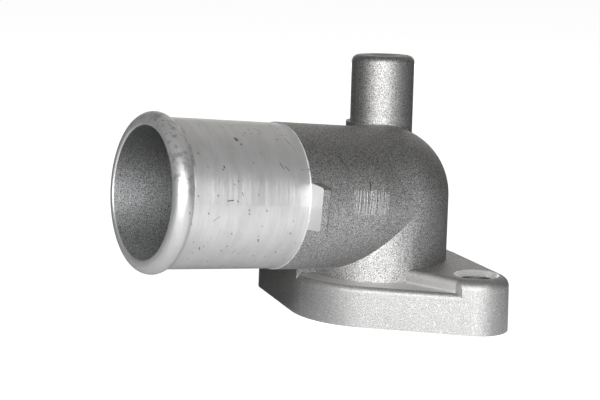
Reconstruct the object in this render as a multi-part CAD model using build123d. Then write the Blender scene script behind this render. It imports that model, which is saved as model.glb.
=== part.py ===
"""Coolant flange: a one-piece aluminium water outlet with a two-bolt flange.

The flange stands on the plane z = 0 and its gasket face looks down. The water passage
rises along the neck, on the z axis, turns under a round dome and leaves through the
hose spigot, which points along -x and climbs a little towards its free end. The casting
is one piece. Its near side is the side of -y, and sizes are in millimetres and degrees.
"""
import os
from math import cos, radians, sin, sqrt, tan

from build123d import *

# Two-bolt flange
flange_thickness = 13.6
ledge_drop = 3.35
bolt_spacing = 62.4
flange_turn = 16.6
ear_radius = 8.25
hub_radius = 23.5
flange_draft = 1.2
flange_edge_round = 2.5
ledge_edge_round = 1.5
ledge_end_y = 2.6
ledge_corner_round = 3.0
ledge_wall_round = 1.8
bolt_hole_diameter = 8.5
bolt_hole_chamfer = 1.25

# Neck and dome; the dome's centre stands a little above the spigot's axis
neck_diameter = 35.6
dome_lift = 1.2

# Hose spigot, measured along its own axis from the axis of the neck; where the two axes
# meet, it lies just clear of the ledge
ledge_clearance = 0.55
spigot_climb = 4.9
spigot_length = 68.1
shoulder_distance = 32.5
hose_seat_diameter = 36.0
cast_skin_step = 0.25
blend_distance = 11.0
bead_height = 1.2
bead_round = 2.5
bead_foot_round = 0.9

# Water passage, narrowest at the bend and widening to both mouths
passage_diameter = 29.6
core_draft = 0.9
mouth_chamfer = 0.3

# Hose stop lug on the near side of the spigot
lug_reach = 5.0
lug_height = 10.2
lug_thickness = 2.3
lug_draft = 5.0
lug_edge_chamfer = 0.35

# Blind boss behind the crown of the dome, and the foot that it stands on
boss_diameter = 16.4
boss_centre_x = 5.1
boss_centre_y = 7.6
boss_top_height = 65.2
boss_edge_round = 1.8
boss_dish_diameter = 10.4
boss_dish_depth = 0.45
foot_margin = 1.1
foot_inset = 0.3
foot_height = 48.25
foot_crest_x = -3.0
foot_crown_radius = 29.0
foot_fall = 2.0

# How far a cut runs past what it cuts
overrun = 5.0

neck_radius = neck_diameter / 2
seat_radius = hose_seat_diameter / 2
cast_radius = seat_radius + cast_skin_step
passage_radius = passage_diameter / 2
spigot_axis_height = flange_thickness - ledge_drop + ledge_clearance + seat_radius
dome_centre_height = spigot_axis_height + dome_lift
boss_radius = boss_diameter / 2
bolt_radius = bolt_spacing / 2
bolt_hole_radius = bolt_hole_diameter / 2
core_flare = tan(radians(core_draft))
standing = (Align.CENTER, Align.CENTER, Align.MIN)

# The flange's long axis is y in its frame. In the spigot's frame x is the near side,
# y is up and z points out of the mouth.
flange_frame = Rot(0, 0, flange_turn)
spigot_frame = Plane(
    origin=(0, 0, spigot_axis_height),
    x_dir=(0, -1, 0),
    z_dir=(-cos(radians(spigot_climb)), 0, sin(radians(spigot_climb))),
).location
boss_axis = Pos(boss_centre_x, boss_centre_y, 0)


def flange_slab(height, edge_round):
    """Hub and two ears within one tight outline, drafted, with the top edge rounded."""
    with BuildPart() as slab:
        with BuildSketch():
            Circle(hub_radius)
            with Locations((0, bolt_radius), (0, -bolt_radius)):
                Circle(ear_radius)
            make_hull()
        extrude(amount=height, taper=flange_draft)
        fillet(slab.faces().sort_by(Axis.Z)[-1].outer_wire().edges(), edge_round)
    return flange_frame * slab.part


def beside_ledge():
    """Block over the ears, the back and the far half, rounded where its wall meets the ledge."""
    reach = bolt_radius + hub_radius
    behind_wall = flange_frame * Pos(reach - ear_radius, 0) * Rectangle(2 * reach, 4 * reach)
    far_half = Pos(0, ledge_end_y + 2 * reach) * Rectangle(4 * reach, 4 * reach)
    plan = behind_wall + far_half
    plan = fillet(plan.vertices().sort_by_distance((0, 0))[0], ledge_corner_round)
    block = extrude(plan, flange_thickness)
    rim = block.faces().sort_by(Axis.Z)[-1].edges().sort_by_distance((0, 0, flange_thickness))
    return fillet(rim[:3], ledge_wall_round)


def flange():
    """Full thickness at the ears and the back, and a lower ledge below the spigot."""
    thick = flange_slab(flange_thickness, flange_edge_round) & beside_ledge()
    return thick + flange_slab(flange_thickness - ledge_drop, ledge_edge_round)


def neck_and_dome():
    """Round neck, a ball on it, and a level stub of the same width that joins the tube.

    The stub ends where the climbing tube has reached the height of the dome's centre.
    """
    neck = Cylinder(neck_radius, dome_centre_height, align=standing)
    centre = Pos(0, 0, dome_centre_height)
    reach = dome_lift / tan(radians(spigot_climb))
    stub = Rot(0, -90, 0) * Cylinder(neck_radius, reach, align=standing)
    return neck + centre * (Sphere(neck_radius) + stub)


def spigot_body():
    """Cast tube, turned hose seat and bead as one solid of revolution."""
    crest = spigot_length - bead_round
    nose_radius = seat_radius + bead_height - bead_round
    bead_foot = crest - sqrt(bead_round**2 - (bead_round - bead_height) ** 2)
    with BuildPart() as body:
        with BuildSketch(Plane.XZ):
            with BuildLine():
                Polyline(
                    (nose_radius, spigot_length),
                    (0, spigot_length),
                    (0, 0),
                    (neck_radius, 0),
                    (cast_radius, blend_distance),
                    (cast_radius, shoulder_distance),
                    (seat_radius, shoulder_distance),
                    (seat_radius, bead_foot),
                )
                ThreePointArc(
                    (seat_radius, bead_foot),
                    (seat_radius + bead_height, crest),
                    (nose_radius, spigot_length),
                )
            profile = make_face()
            foot_corner = profile.vertices().sort_by_distance((seat_radius, 0, bead_foot))[0]
            fillet(foot_corner, bead_foot_round)
        revolve(axis=Axis.Z)
    return spigot_frame * body.part


def stop_lug():
    """Drafted block on the near side, faced off flush with the turned shoulder."""
    tip = seat_radius + lug_reach
    root = (seat_radius + passage_radius) / 2
    flare = 2 * (tip - root) * tan(radians(lug_draft))
    stock = 2 * lug_thickness + flare
    with BuildPart() as block:
        with BuildSketch(Plane.YZ.offset(root)):
            with Locations((0, shoulder_distance)):
                Rectangle(lug_height + flare, stock)
        extrude(amount=tip - root, taper=lug_draft)
        chamfer(block.faces().sort_by(Axis.X)[-1].edges(), lug_edge_chamfer)
    turned_off = Pos(0, 0, shoulder_distance) * Cylinder(2 * tip, stock, align=standing)
    return spigot_frame * (block.part - turned_off)


def boss():
    """Blind round boss with a rounded, slightly dished top."""
    base = dome_centre_height + passage_radius / 2
    column = Pos(0, 0, base) * Cylinder(boss_radius, boss_top_height - base, align=standing)
    column = fillet(column.edges().sort_by(Axis.Z)[-1], boss_edge_round)
    rim = boss_dish_diameter / 2
    dish_radius = (rim**2 + boss_dish_depth**2) / (2 * boss_dish_depth)
    dish = Pos(0, 0, boss_top_height + dish_radius - boss_dish_depth) * Sphere(dish_radius)
    return boss_axis * (column - dish)


def boss_foot():
    """Collar round the boss, highest towards the hose and falling away with the dome."""
    collar = (boss_axis * Circle(boss_radius + foot_margin)) & Circle(neck_radius - foot_inset)
    pillar = Pos(0, 0, dome_centre_height) * extrude(collar, neck_radius)
    crown = (
        Pos(foot_crest_x, boss_centre_y, foot_height)
        * Rot(90 + foot_fall, 0, 0)
        * Pos(0, -foot_crown_radius, 0)
        * Cylinder(foot_crown_radius, 4 * neck_radius)
    )
    return pillar & crown


def water_passage():
    """Drafted cores from the flange and from the spigot that meet in a ball at the bend."""
    flange_mouth = passage_radius + dome_centre_height * core_flare
    spigot_mouth = passage_radius + spigot_length * core_flare
    riser = Cone(flange_mouth, passage_radius, dome_centre_height, align=standing)
    run = Cone(passage_radius, spigot_mouth, spigot_length, align=standing)
    lip = Pos(0, 0, spigot_length - mouth_chamfer) * Cone(
        spigot_mouth, spigot_mouth + 2 * mouth_chamfer, 2 * mouth_chamfer, align=standing
    )
    bend = Pos(0, 0, dome_centre_height) * Sphere(passage_radius)
    return riser + bend + spigot_frame * (run + lip)


def bolt_hole(end):
    """Through hole in one ear, chamfered under the bolt head."""
    hole = Cylinder(bolt_hole_radius, 2 * (flange_thickness + overrun))
    sink = Pos(0, 0, flange_thickness - bolt_hole_chamfer) * Cone(
        bolt_hole_radius, bolt_hole_radius + 2 * bolt_hole_chamfer, 2 * bolt_hole_chamfer, align=standing
    )
    return flange_frame * Pos(0, end * bolt_radius) * (hole + sink)


def outlet_casting():
    """The whole casting, machined at the gasket face, the holes and the hose seat."""
    casting = flange() + neck_and_dome() + spigot_body() + boss() + boss_foot() + stop_lug()
    casting -= water_passage()
    for end in (1, -1):
        casting -= bolt_hole(end)
    return casting


os.makedirs("parts", exist_ok=True)
casting = outlet_casting()
casting.label = "outlet_casting"
export_step(casting, "parts/outlet_casting.step")
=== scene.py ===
"""The coolant flange standing on a pale studio floor, seen from the front left.

The casting's shape comes from the frame. This script adds its finish, the studio and the
camera. Sizes are given in millimetres and turned into metres where they meet Blender.
"""
from math import cos, radians, sin

import bmesh
import bpy
from mathutils import Matrix, Vector


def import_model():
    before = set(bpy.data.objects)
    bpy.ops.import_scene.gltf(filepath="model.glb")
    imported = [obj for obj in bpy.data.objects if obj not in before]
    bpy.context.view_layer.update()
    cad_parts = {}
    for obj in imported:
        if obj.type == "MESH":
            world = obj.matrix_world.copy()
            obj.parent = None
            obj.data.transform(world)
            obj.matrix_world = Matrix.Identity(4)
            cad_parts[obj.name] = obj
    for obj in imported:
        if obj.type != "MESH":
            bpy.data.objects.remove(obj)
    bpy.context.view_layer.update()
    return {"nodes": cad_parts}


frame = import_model()

MM = 0.001

# The spigot's own frame: near side, up and out of the mouth
climb = radians(4.9)
spigot_origin = Vector((0.0, 0.0, 28.8))
spigot_near = Vector((0.0, -1.0, 0.0))
spigot_up = Vector((sin(climb), 0.0, cos(climb)))
spigot_out = Vector((-cos(climb), 0.0, sin(climb)))
shoulder = 32.5
seat_radius = 18.0
bead_start = 63.6
mouth_distance = 68.1

# The tube's outer skin lies outwards of the first radius, its bore inwards of the second
outer_skin_radius = 16.6
bore_skin_radius = 16.4
mouth_ring_radius = 15.8
bore_start = 17.0
neck_bore_radius = 15.6
neck_bore_height = 30.0

# The flange: its sides, the ledge under the spigot and the bolt holes with their sinks
flange_turn = radians(16.6)
flange_height = 13.7
flange_side_reach = 22.3
rim_line_reach = 22.5
rim_line_top = 12.0
ledge_height = 10.25
ledge_wall_top = 13.4
ledge_reach = (18.0, 32.0)
ledge_end_across = 2.0
ledge_fade = (-8.2, -7.2)
bolt_radius = 31.2
bolt_sink_radius = 5.55
bolt_sink_floor = 12.25
bolt_hole_radius = 4.75
gasket_face_top = 0.02

# The boss, and the round mark that a pin left in its top
boss_middle = (5.1, 7.6)
boss_foot_height = 49.5
boss_shoulder_height = 64.0
boss_out_limit = 20.0
pin_mark_edge = (4.7, 5.2)

# Handling marks on the tube: start, end and width. Each end is given in millimetres along
# the tube, and in degrees round it from its crown towards the near side.
handling_marks = (
    ((23.5, 49.0), (20.9, 62.0), 0.14),
    ((15.5, 70.0), (15.5, 77.0), 0.22),
    ((50.2, 35.7), (50.0, 37.3), 0.62),
    ((49.4, 41.0), (49.3, 42.2), 0.26),
    ((54.9, 86.8), (53.4, 86.2), 0.2),
    ((40.3, 57.0), (39.5, 61.5), 0.15),
    ((39.0, 59.5), (38.1, 63.0), 0.13),
    ((57.6, 82.5), (57.4, 83.5), 0.18),
    ((58.0, 102.0), (56.5, 98.2), 0.09),
    ((50.2, 131.5), (49.8, 127.5), 0.09),
    ((37.8, 12.5), (36.4, 12.5), 0.12),
    ((37.1, 28.0), (36.3, 29.0), 0.12),
    ((38.7, 34.2), (38.7, 34.8), 0.24),
    ((44.9, 28.2), (44.9, 28.8), 0.2),
    ((55.5, 61.0), (55.4, 62.5), 0.24),
    ((51.3, 80.0), (50.8, 82.6), 0.1),
    ((44.8, 117.0), (44.6, 119.0), 0.22),
    ((59.4, 125.0), (59.2, 127.0), 0.2),
    ((43.0, 20.0), (42.0, 26.0), 0.12),
    ((36.5, 33.0), (35.6, 40.0), 0.12),
)

# The studio: azimuth of the camera, what the lamps aim at, and the tent's radius in metres
front = -33.5
studio_middle = Vector((-12.0, 0.0, 25.0))
tent_radius = 1.1
white = (1.0, 1.0, 1.0, 1.0)
warm_white = (1.0, 0.98, 0.93, 1.0)
cool_white = (0.98, 0.985, 1.0, 1.0)


class Field:
    """A number or colour that varies over a surface, used in ordinary sums."""

    def __init__(self, finish, socket):
        self.finish = finish
        self.socket = socket

    def maths(self, operation, *others, clamp=False):
        settings = {"operation": operation, "use_clamp": clamp}
        return self.finish.node("ShaderNodeMath", settings, self, *others)

    def __add__(self, other):
        return self.maths("ADD", other)

    def __sub__(self, other):
        return self.maths("SUBTRACT", other)

    def __rsub__(self, other):
        return self.finish.node("ShaderNodeMath", {"operation": "SUBTRACT"}, other, self)

    def __mul__(self, other):
        return self.maths("MULTIPLY", other)

    def __truediv__(self, other):
        return self.maths("DIVIDE", other)

    def __pow__(self, other):
        return self.maths("POWER", other)

    def __abs__(self):
        return self.maths("ABSOLUTE")

    def __lt__(self, other):
        return self.maths("LESS_THAN", other)

    def __gt__(self, other):
        return self.maths("GREATER_THAN", other)

    def least(self, other):
        return self.maths("MINIMUM", other)

    def most(self, other):
        return self.maths("MAXIMUM", other)

    def held(self):
        """Kept between 0 and 1."""
        return self.maths("ADD", 0.0, clamp=True)

    def ramp(self, low, high, start=0.0, end=1.0):
        """Smooth step from start, at low and before, to end, at high and after."""
        settings = {"interpolation_type": "SMOOTHSTEP"}
        return self.finish.node("ShaderNodeMapRange", settings, self, low, high, start, end)

    def near(self, middle, half_width, soft):
        """1 within half_width of the middle, fading to 0 over soft."""
        return abs(self - middle).ramp(half_width, half_width + soft, 1.0, 0.0)


class Finish:
    """A node tree under construction: adds nodes and joins them up."""

    def __init__(self, tree):
        self.tree = tree
        self.tree.nodes.clear()

    def node(self, kind, settings, *values, out=0, **named):
        """Adds a node, applies its settings, then sets or links its inputs in order."""
        node = self.tree.nodes.new(kind)
        for name, value in settings.items():
            setattr(node, name, value)
        inputs = dict(enumerate(values))
        inputs.update({name.replace("_", " "): value for name, value in named.items()})
        for key, value in inputs.items():
            if isinstance(value, Field):
                self.tree.links.new(value.socket, node.inputs[key])
            elif value is not None:
                node.inputs[key].default_value = value
        return Field(self, node.outputs[out]) if node.outputs else None

    def point(self):
        """The place on the object in millimetres."""
        place = self.node("ShaderNodeTexCoord", {}, out="Object")
        return self.node("ShaderNodeVectorMath", {"operation": "SCALE"}, place, Scale=1.0 / MM)

    def along(self, place, direction, origin=(0.0, 0.0, 0.0)):
        """Distance along a direction from an origin."""
        offset = -Vector(origin).dot(Vector(direction))
        dot = self.node("ShaderNodeVectorMath", {"operation": "DOT_PRODUCT"}, place,
                        tuple(direction), out="Value")
        return dot + offset if offset else dot

    def packed(self, x, y, z):
        return self.node("ShaderNodeCombineXYZ", {}, x, y, z)

    def noise(self, place, scale, detail=0.0, roughness=0.5):
        """Soft random pattern, finer with scale and more broken up with detail."""
        return self.node("ShaderNodeTexNoise", {"noise_dimensions": "3D"}, place, Scale=scale,
                         Detail=detail, Roughness=roughness)

    def cells(self, place, scale):
        """Distance from the middle of the nearest of many scattered cells."""
        return self.node("ShaderNodeTexVoronoi", {"voronoi_dimensions": "3D"}, place,
                         Scale=scale, out="Distance")

    def colour(self, share, first, second):
        """Colour mix: first where share is 0, second where it is 1."""
        other_kinds = [None] * 5
        return self.node("ShaderNodeMix", {"data_type": "RGBA"}, share, *other_kinds,
                         first, second, out=2)

    def seen_or_mirrored(self):
        """1 for rays from the camera, mirrored rays and rays through glass."""
        kinds = ("Is Camera Ray", "Is Glossy Ray", "Is Transmission Ray")
        camera, glossy, through = [self.node("ShaderNodeLightPath", {}, out=kind) for kind in kinds]
        return camera.most(glossy).most(through)


def new_material(name):
    """An empty node material, with the finish that fills it."""
    material = bpy.data.materials.new(name)
    material.use_nodes = True
    return material, Finish(material.node_tree)


def grey(level, warmth=0.0):
    """A metal grey, a little warmer or cooler than neutral."""
    return (level * (1.0 + warmth), level, level * (1.0 - warmth), 1.0)


def length(x, y):
    """Length of a flat vector, for fields."""
    return (x * x + y * y) ** 0.5


# Dark and pale grey of each skin
blasted_greys = (grey(0.14, 0.018), grey(0.48, 0.006))
passage_greys = (grey(0.18, -0.012), grey(0.68, -0.012))
turned_greys = (grey(0.46, 0.006), grey(0.56))

# Greys laid over them in places
# Painted light: the pale grey laid on the ledge's top and wall
ledge_light_grey = grey(0.85, 0.012)
glint_grey = grey(0.85)
line_grey = grey(0.6)
# Painted glints in the passage
passage_glint_grey = grey(0.8)
passage_shade = grey(0.08)
hole_shade = grey(0.1, -0.03)
rubbed_grey = grey(0.45)
drilled_grey = grey(0.92)
burr_grey = grey(0.75)
soil_grey = grey(0.07, 0.02)
# Painted shade for the dish of the pin mark
pin_dish_shade_grey = grey(0.06)


class Zones:
    """Where a point lies on the casting, and 1 or 0 for each kind of surface."""

    def __init__(self, finish):
        self.place = finish.point()
        self.height = finish.along(self.place, (0.0, 0.0, 1.0))
        self.across = finish.along(self.place, (0.0, 1.0, 0.0))
        along_x = finish.along(self.place, (1.0, 0.0, 0.0))
        self.near_side = finish.along(self.place, spigot_near, spigot_origin)
        self.up = finish.along(self.place, spigot_up, spigot_origin)
        self.out = finish.along(self.place, spigot_out, spigot_origin)
        self.radius = length(self.near_side, self.up)
        self.around = self.near_side.maths("ARCTAN2", self.up) * seat_radius
        self.neck_reach = length(along_x, self.across)

        # Machined faces: the hose seat with the lug's face, the mouth, the gasket side and
        # the sinks under the bolt heads
        self.on_tube = self.radius > outer_skin_radius
        self.turned = self.on_tube * (self.out > shoulder - 0.06)
        in_mouth = (self.out > mouth_distance - 0.35) * (self.radius > mouth_ring_radius)
        gasket_side = self.height < gasket_face_top
        bolt_reach = at_bolt(along_x, self.across, 1.0).least(at_bolt(along_x, self.across, -1.0))
        self.drilled = (bolt_reach < bolt_sink_radius) * (self.height > bolt_sink_floor)
        self.machined = self.turned.most(in_mouth).most(gasket_side).most(self.drilled)
        self.cast = 1.0 - self.machined
        outside_seat = self.radius > seat_radius + 0.15
        self.faced = self.turned * outside_seat * (self.out < bead_start - 5.0)
        self.bead = self.turned * (self.out > bead_start - 0.8)

        # Water passage and bolt holes
        inside_tube = (self.radius < bore_skin_radius) * (self.out > bore_start)
        inside_neck = (self.neck_reach < neck_bore_radius) * (self.height < neck_bore_height)
        self.inside = inside_tube.most(inside_neck)
        self.in_hole = (bolt_reach < bolt_hole_radius) * (self.height > gasket_face_top)

        # The boss with the smooth mark in its top
        self.on_boss = (self.height > boss_foot_height) * (self.out < boss_out_limit)
        boss_x, self.boss_y = along_x - boss_middle[0], self.across - boss_middle[1]
        self.boss_front = boss_x < 0.0
        self.boss_reach = length(boss_x, self.boss_y)
        in_dish = self.boss_reach.ramp(*pin_mark_edge, 1.0, 0.0)
        self.pin_mark = (self.height > boss_shoulder_height) * in_dish

        # The ledge with its wall, and the flange's sides
        low, high = self.height > ledge_height - 0.1, self.height < ledge_wall_top
        inner, outer = self.neck_reach > ledge_reach[0], self.neck_reach < ledge_reach[1]
        beside_ears = along_x * cos(flange_turn) + self.across * sin(flange_turn)
        ledge = low * high * inner * beside_ears.ramp(*ledge_fade, 1.0, 0.0)
        self.ledge = ledge * outer * (self.across < ledge_end_across)
        self.flange_side = (self.neck_reach > flange_side_reach) * (self.height < flange_height)


def at_bolt(along_x, across, end):
    """Distance from the axis of the bolt hole in one ear."""
    middle_x = -end * bolt_radius * sin(flange_turn)
    middle_y = end * bolt_radius * cos(flange_turn)
    return length(along_x - middle_x, across - middle_y)


class Grain:
    """Shot-blasted skin: fine dimples, grains with painted glints, and a slow unevenness."""

    def __init__(self, finish, zones):
        self.fine = finish.noise(zones.place, 3.8, detail=1.0, roughness=0.6)
        dimples = finish.cells(zones.place, 4.0)
        uneven = finish.noise(zones.place, 0.16, detail=3.0)
        painted_sparkle = finish.noise(zones.place, 5.2)
        self.coarse = finish.noise(zones.place, 1.9, detail=2.0, roughness=0.6)
        self.relief = self.fine * 0.7 + dimples * 0.6
        # Painted glints: this share of the tone stands in for light glinting off blasted facets;
        # the rest is the grain's own tone
        tone = painted_sparkle.ramp(0.42, 0.58) * 0.85 + self.relief.ramp(0.45, 0.95) * 0.25
        tone = tone + self.coarse.ramp(0.3, 0.7) * 0.2 + uneven * 0.2 - 0.69

        # Less contrast on the flange's sides, and painted shade that darkens the boss and dims its
        # highlight
        tone = tone * (1.0 - zones.flange_side * 0.6) * (1.0 - zones.on_boss * 0.2)
        self.tone = tone + 0.55 - zones.on_boss * 0.09


def flash_lines(zones):
    """Thin lines where the two die halves met, on the flange's rim and down the boss."""
    on_rim = (zones.neck_reach > rim_line_reach) * (zones.height < rim_line_top)
    rim_line = abs(zones.across).ramp(0.08, 0.24, 1.0, 0.0) * on_rim
    boss_line = abs(zones.boss_y).ramp(0.06, 0.2, 1.0, 0.0) * zones.on_boss * zones.boss_front
    return (rim_line + boss_line) * zones.cast


def drag_lines(finish, zones):
    """A patch of short lines that the die left on the tube's near side."""
    patch = zones.out.near(15.0, 4.5, 1.5) * zones.around.near(27.0, 2.6, 1.0)
    line_place = finish.packed(zones.out * 2.6, zones.around * 0.12, 0.0)
    lines = finish.noise(line_place, 1.0, detail=1.0)
    return lines.ramp(0.42, 0.62) * patch * (1.0 - zones.inside)


def nick(around, out, start, end, width):
    """A mark on the tube's skin from start to end, fading at its edges."""
    first = Vector((start[0], radians(start[1]) * seat_radius))
    last = Vector((end[0], radians(end[1]) * seat_radius))
    middle, run = (first + last) / 2, (last - first)
    half = run.length / 2
    run.normalize()
    x, y = out - middle.x, around - middle.y
    along = x * run.x + y * run.y
    beside = x * run.y - y * run.x
    return along.near(0.0, half, width) * beside.near(0.0, width * 0.4, width * 0.6)


def handled(zones):
    """All handling marks together."""
    nicks = 0.0
    for start, end, width in handling_marks:
        nicks = nick(zones.around, zones.out, start, end, width) + nicks
    return nicks.held() * zones.on_tube


class TurnedSkin:
    """Turned hose seat: fine rings, and pits, rubs and stains from handling."""

    def __init__(self, finish, zones):
        out, around, near_side = zones.out, zones.around, zones.near_side
        ring_place = finish.packed(out * 55.0, zones.up * 0.02, near_side * 0.02)
        self.rings = finish.noise(ring_place, 1.0)
        satin_place = finish.packed(out * 0.35, around * 0.12, 0.0)
        satin = finish.noise(satin_place, 1.0, detail=3.0, roughness=0.6)
        line_place = finish.packed(out * 6.0, around * 0.05, 5.0)
        lines = finish.noise(line_place, 1.0, detail=2.0, roughness=0.6)
        self.tone = satin.ramp(0.3, 0.7) * 0.6 + lines.ramp(0.35, 0.65) * 0.4

        slant_out, slant_round = out * 0.8 + around * 0.6, around * 0.8 - out * 0.6
        gate = finish.noise(finish.packed(out * 0.5, around * 0.5, 3.0), 1.0, detail=1.0)
        pit_place = finish.packed(slant_out * 0.72, slant_round * 0.34, near_side * 0.01)
        pits = finish.cells(pit_place, 1.0).ramp(0.08, 0.15, 1.0, 0.0) * gate.ramp(0.38, 0.48)
        rub_place = finish.packed(slant_out * 0.15, slant_round * 2.4, 7.0)
        rubs = finish.noise(rub_place, 1.0, detail=2.0)
        self.rubs = rubs.ramp(0.6, 0.72) * gate.ramp(0.5, 0.65)
        stain = finish.noise(zones.place, 0.45, detail=3.0, roughness=0.65)
        stain = stain.ramp(0.5, 0.66) * zones.bead * zones.up.ramp(-4.0, 8.0)
        self.soil = (pits * zones.turned * 0.7 + handled(zones) * 0.85 + stain * 0.45).held()


def cast_colours(finish, zones, grain, flash, drags):
    """Colour of the blasted skin, and of the passage and the bolt holes."""
    colour = finish.colour(grain.tone, *blasted_greys)
    # Painted light: the ledge's top is painted paler, its wall a little less
    ledge_light_share = zones.ledge * zones.height.ramp(10.4, 11.0, 0.65, 0.36)
    colour = finish.colour(ledge_light_share, colour, ledge_light_grey)
    glints = finish.cells(zones.place, 1.1).ramp(0.12, 0.22, 1.0, 0.0)
    glints = glints * grain.coarse.ramp(0.42, 0.55) * (1.0 - zones.ledge)
    colour = finish.colour(glints * 0.4, colour, glint_grey)
    colour = finish.colour(drags * 0.35, colour, line_grey)
    colour = finish.colour(flash * 0.12, colour, line_grey)

    # The passage has larger painted glints, and painted shade darkens it towards its crown
    passage = finish.colour(grain.tone, *passage_greys)
    passage_glints = finish.cells(zones.place, 0.55).ramp(0.1, 0.2, 1.0, 0.0)
    passage = finish.colour(passage_glints * grain.coarse.ramp(0.5, 0.6), passage, passage_glint_grey)
    passage = finish.colour(zones.up.ramp(-6.0, 15.0, 0.0, 0.75), passage, passage_shade)
    colour = finish.colour(zones.inside, colour, passage)
    return finish.colour(zones.in_hole * 0.7, colour, hole_shade)


def machined_colours(finish, zones, grain, skin):
    """Colour of the turned and drilled faces, with a bright burr along the shoulder."""
    colour = finish.colour(skin.tone, *turned_greys)
    colour = finish.colour(skin.rubs * 0.35, colour, rubbed_grey)
    colour = finish.colour(zones.drilled, colour, drilled_grey)
    burr = zones.out.near(shoulder + 0.03, 0.05, 0.06) * zones.radius.near(seat_radius, 0.3, 0.15)
    return finish.colour(burr * grain.coarse.ramp(0.35, 0.6, 0.2, 0.8), colour, burr_grey)


def cast_aluminium():
    """Shot-blasted casting with the turned hose seat, faced lug and machined flange."""
    material, finish = new_material("cast_aluminium")
    zones = Zones(finish)
    grain = Grain(finish, zones)
    flash = flash_lines(zones)
    drags = drag_lines(finish, zones)
    skin = TurnedSkin(finish, zones)

    colour = finish.colour(
        zones.machined,
        cast_colours(finish, zones, grain, flash, drags),
        machined_colours(finish, zones, grain, skin),
    )
    colour = finish.colour(skin.soil, colour, soil_grey)
    # Painted shade: the pin mark's dish is painted dark, all but its middle
    pin_dish_shade = zones.pin_mark * zones.boss_reach.ramp(0.6, 1.6)
    colour = finish.colour(pin_dish_shade * 0.85, colour, pin_dish_shade_grey)

    # Turned 0.36, faced 0.5, drilled 0.24, blasted about 0.55 and smoother in the pin mark
    roughness = zones.machined * 0.36 + zones.faced * 0.14 - zones.drilled * 0.12
    roughness = roughness + zones.cast * (grain.fine * 0.1 + 0.5) - zones.pin_mark * 0.15

    # One relief for every surface, its depths in millimetres
    relief = zones.cast * (grain.relief * 0.06 + flash * 0.04 + drags * 0.05)
    relief = relief * (1.0 - zones.pin_mark * 0.7)
    relief = relief + (zones.machined - zones.faced) * skin.rings * 0.018 - skin.soil * 0.02
    normal = finish.node("ShaderNodeBump", {}, Strength=1.0, Distance=MM, Height=relief)

    # The turned skin and the near part of the flange's sides scatter some light evenly
    scatter = zones.flange_side * zones.cast * zones.across.ramp(-6.0, 8.0, 0.1, 0.0)
    metallic = 0.98 - zones.machined * 0.28 - scatter
    surface = finish.node(
        "ShaderNodeBsdfPrincipled", {}, Base_Color=colour, Roughness=roughness,
        Metallic=metallic, Normal=normal,
    )
    finish.node("ShaderNodeOutputMaterial", {}, surface)
    return material


def dress_casting():
    """Gives the casting its finish; its shape stays as it is."""
    casting = frame["nodes"]["outlet_casting"]
    casting.data.materials.clear()
    casting.data.materials.append(cast_aluminium())


def finished_piece(name, shape, material):
    """Turns a bmesh into an object at the origin."""
    mesh = bpy.data.meshes.new(name)
    shape.to_mesh(mesh)
    shape.free()
    mesh.materials.append(material)
    piece = bpy.data.objects.new(name, mesh)
    bpy.context.scene.collection.objects.link(piece)
    return piece


def world():
    """White for what is seen directly or mirrored, a quiet grey for the rest."""
    studio = bpy.data.worlds.new("studio")
    bpy.context.scene.world = studio
    studio.use_nodes = True
    finish = Finish(studio.node_tree)
    colour = finish.colour(finish.seen_or_mirrored(), (0.35, 0.35, 0.36, 1.0), white)
    background = finish.node("ShaderNodeBackground", {}, Color=colour)
    finish.node("ShaderNodeOutputWorld", {}, background)


def floor():
    """A large pale floor just under the gasket face, white where the camera sees it."""
    shape = bmesh.new()
    bmesh.ops.create_grid(shape, x_segments=1, y_segments=1, size=12.0)
    bmesh.ops.translate(shape, verts=shape.verts, vec=(0.0, 0.0, -0.02 * MM))
    material, finish = new_material("pale_floor")
    matt = finish.node("ShaderNodeBsdfDiffuse", {}, Color=grey(0.9))
    light = finish.node("ShaderNodeEmission", {}, Color=white, Strength=0.66)
    both = finish.node("ShaderNodeAddShader", {}, matt, light)
    chosen = finish.node("ShaderNodeMixShader", {}, finish.seen_or_mirrored(), matt, both)
    finish.node("ShaderNodeOutputMaterial", {}, chosen)
    piece = finished_piece("studio_floor", shape, material)


def direction(azimuth, elevation):
    """Unit vector from the object towards an azimuth, as the camera's, and elevation."""
    a, e = radians(azimuth), radians(elevation)
    return Vector((sin(a) * cos(e), -cos(a) * cos(e), sin(e)))


def glowing_card(name, shape, material, finish, level, colour):
    """Shines on the metal only, and is hidden from the camera and from matt surfaces."""
    glow = finish.node("ShaderNodeEmission", {}, Color=colour, Strength=level)
    finish.node("ShaderNodeOutputMaterial", {}, glow)
    piece = finished_piece(name, shape, material)
    piece.visible_camera = False
    piece.visible_shadow = False
    piece.visible_diffuse = False


def studio_tent():
    """A dim round tent that gives the metal its greys: a pale band low in front, a soft
    glow high up behind, and darkness at the sides.
    """
    shape = bmesh.new()
    bmesh.ops.create_uvsphere(shape, u_segments=48, v_segments=24, radius=tent_radius)
    below = [vert for vert in shape.verts if vert.co.z < -0.01]
    bmesh.ops.delete(shape, geom=below, context="VERTS")
    material, finish = new_material("tent_glow")
    place = finish.point()
    height = finish.along(place, (0.0, 0.0, 1.0)) / (tent_radius / MM)
    ahead = finish.along(place, direction(front, 0.0)) / (tent_radius / MM)
    before = ahead.ramp(0.3, 1.0) * height.ramp(0.0, 0.6, 0.3, 0.0)
    behind = finish.along(place, direction(front + 172.0, 30.0)) / (tent_radius / MM)
    behind = behind.ramp(0.66, 0.98) * height.ramp(-0.05, 0.35) * 0.62
    level = before + behind + 0.03
    glowing_card("studio_tent", shape, material, finish, level, warm_white)


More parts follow.
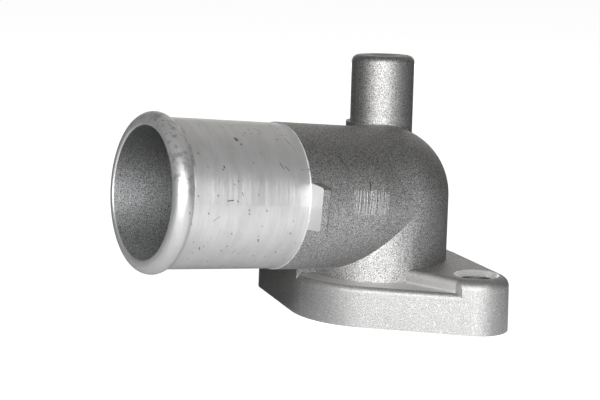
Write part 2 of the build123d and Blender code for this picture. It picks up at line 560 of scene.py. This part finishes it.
def floor_reflector():
    """Stands in for the lit floor in front of the casting, and for the casting's shadow
    behind it, in what the metal mirrors.
    """
    shape = bmesh.new()
    bmesh.ops.create_circle(shape, cap_ends=True, segments=64, radius=tent_radius)
    bmesh.ops.translate(shape, verts=shape.verts, vec=(0.0, 0.0, 0.1 * MM))
    material, finish = new_material("floor_glow")
    place = finish.point()
    middle = (studio_middle.x, 0.0, 0.0)
    ahead = finish.along(place, direction(front + 8.0, 0.0), middle)
    aside = finish.along(place, direction(front + 98.0, 0.0), middle)
    reach = length(ahead, aside)
    side = (ahead / (reach + 1.0)).ramp(-0.9, 0.9)
    beyond = finish.along(place, (0.0, 1.0, 0.0))
    behind_spigot = finish.along(place, (1.0, 0.0, 0.0)).ramp(-62.0, -38.0, 0.0, 0.46)
    shade = beyond.ramp(-60.0, -8.0, 1.0, 0.5) - beyond.ramp(4.0, 20.0) * behind_spigot
    level = side * shade * reach.ramp(40.0, 350.0, 1.34, 0.14) + 0.03
    glowing_card("floor_reflector", shape, material, finish, level, cool_white)


def lamp(name, azimuth, elevation, distance, width, height, power):
    """A soft rectangular lamp at a distance in metres, aimed at the middle of the studio."""
    light = bpy.data.lights.new(name, "AREA")
    light.shape = "RECTANGLE"
    light.size, light.size_y = width, height
    light.energy = power
    piece = bpy.data.objects.new(name, light)
    aim = studio_middle * MM
    piece.location = aim + direction(azimuth, elevation) * distance
    piece.rotation_euler = (aim - piece.location).to_track_quat("-Z", "Y").to_euler()
    bpy.context.scene.collection.objects.link(piece)


def camera():
    """The photograph's viewpoint and angle of view, for a 600 x 400 frame."""
    azimuth, elevation, distance = -33.499, 8.998, 353.166
    centre = Vector((-12.0, 0.0, 32.0))
    pan, tilt, roll = radians(-1.681), radians(-0.522), radians(1.574)
    focal_pixels, frame_pixels = 1387.177, 600.0
    back = direction(azimuth, elevation)
    place = centre + back * distance
    ahead = -back
    right = ahead.cross(Vector((0, 0, 1))).normalized()
    up = right.cross(ahead)
    ahead, right = ahead * cos(pan) + right * sin(pan), right * cos(pan) - ahead * sin(pan)
    ahead, up = ahead * cos(tilt) + up * sin(tilt), up * cos(tilt) - ahead * sin(tilt)
    right, up = right * cos(roll) + up * sin(roll), up * cos(roll) - right * sin(roll)
    data = bpy.data.cameras.new("photo_camera")
    data.sensor_fit = "HORIZONTAL"
    data.sensor_width = 36.0
    data.lens = focal_pixels * data.sensor_width / frame_pixels
    data.clip_start, data.clip_end = 0.01, 100.0
    piece = bpy.data.objects.new("photo_camera", data)
    turn = Matrix((right, up, -ahead)).transposed()
    piece.matrix_world = Matrix.Translation(place * MM) @ turn.to_4x4()
    bpy.context.scene.collection.objects.link(piece)
    bpy.context.scene.camera = piece


bpy.context.scene.view_settings.view_transform = "Standard"
camera()
world()
floor()
studio_tent()
floor_reflector()
lamp("front_softbox", front - 3.0, 10.0, distance=0.95, width=1.15, height=0.3, power=12.5)
lamp("key_light", front + 1.0, 15.0, distance=0.9, width=0.5, height=0.3, power=3.2)
lamp("back_softbox", front + 186.0, 4.0, distance=0.95, width=0.8, height=0.3, power=1.1)
dress_casting()
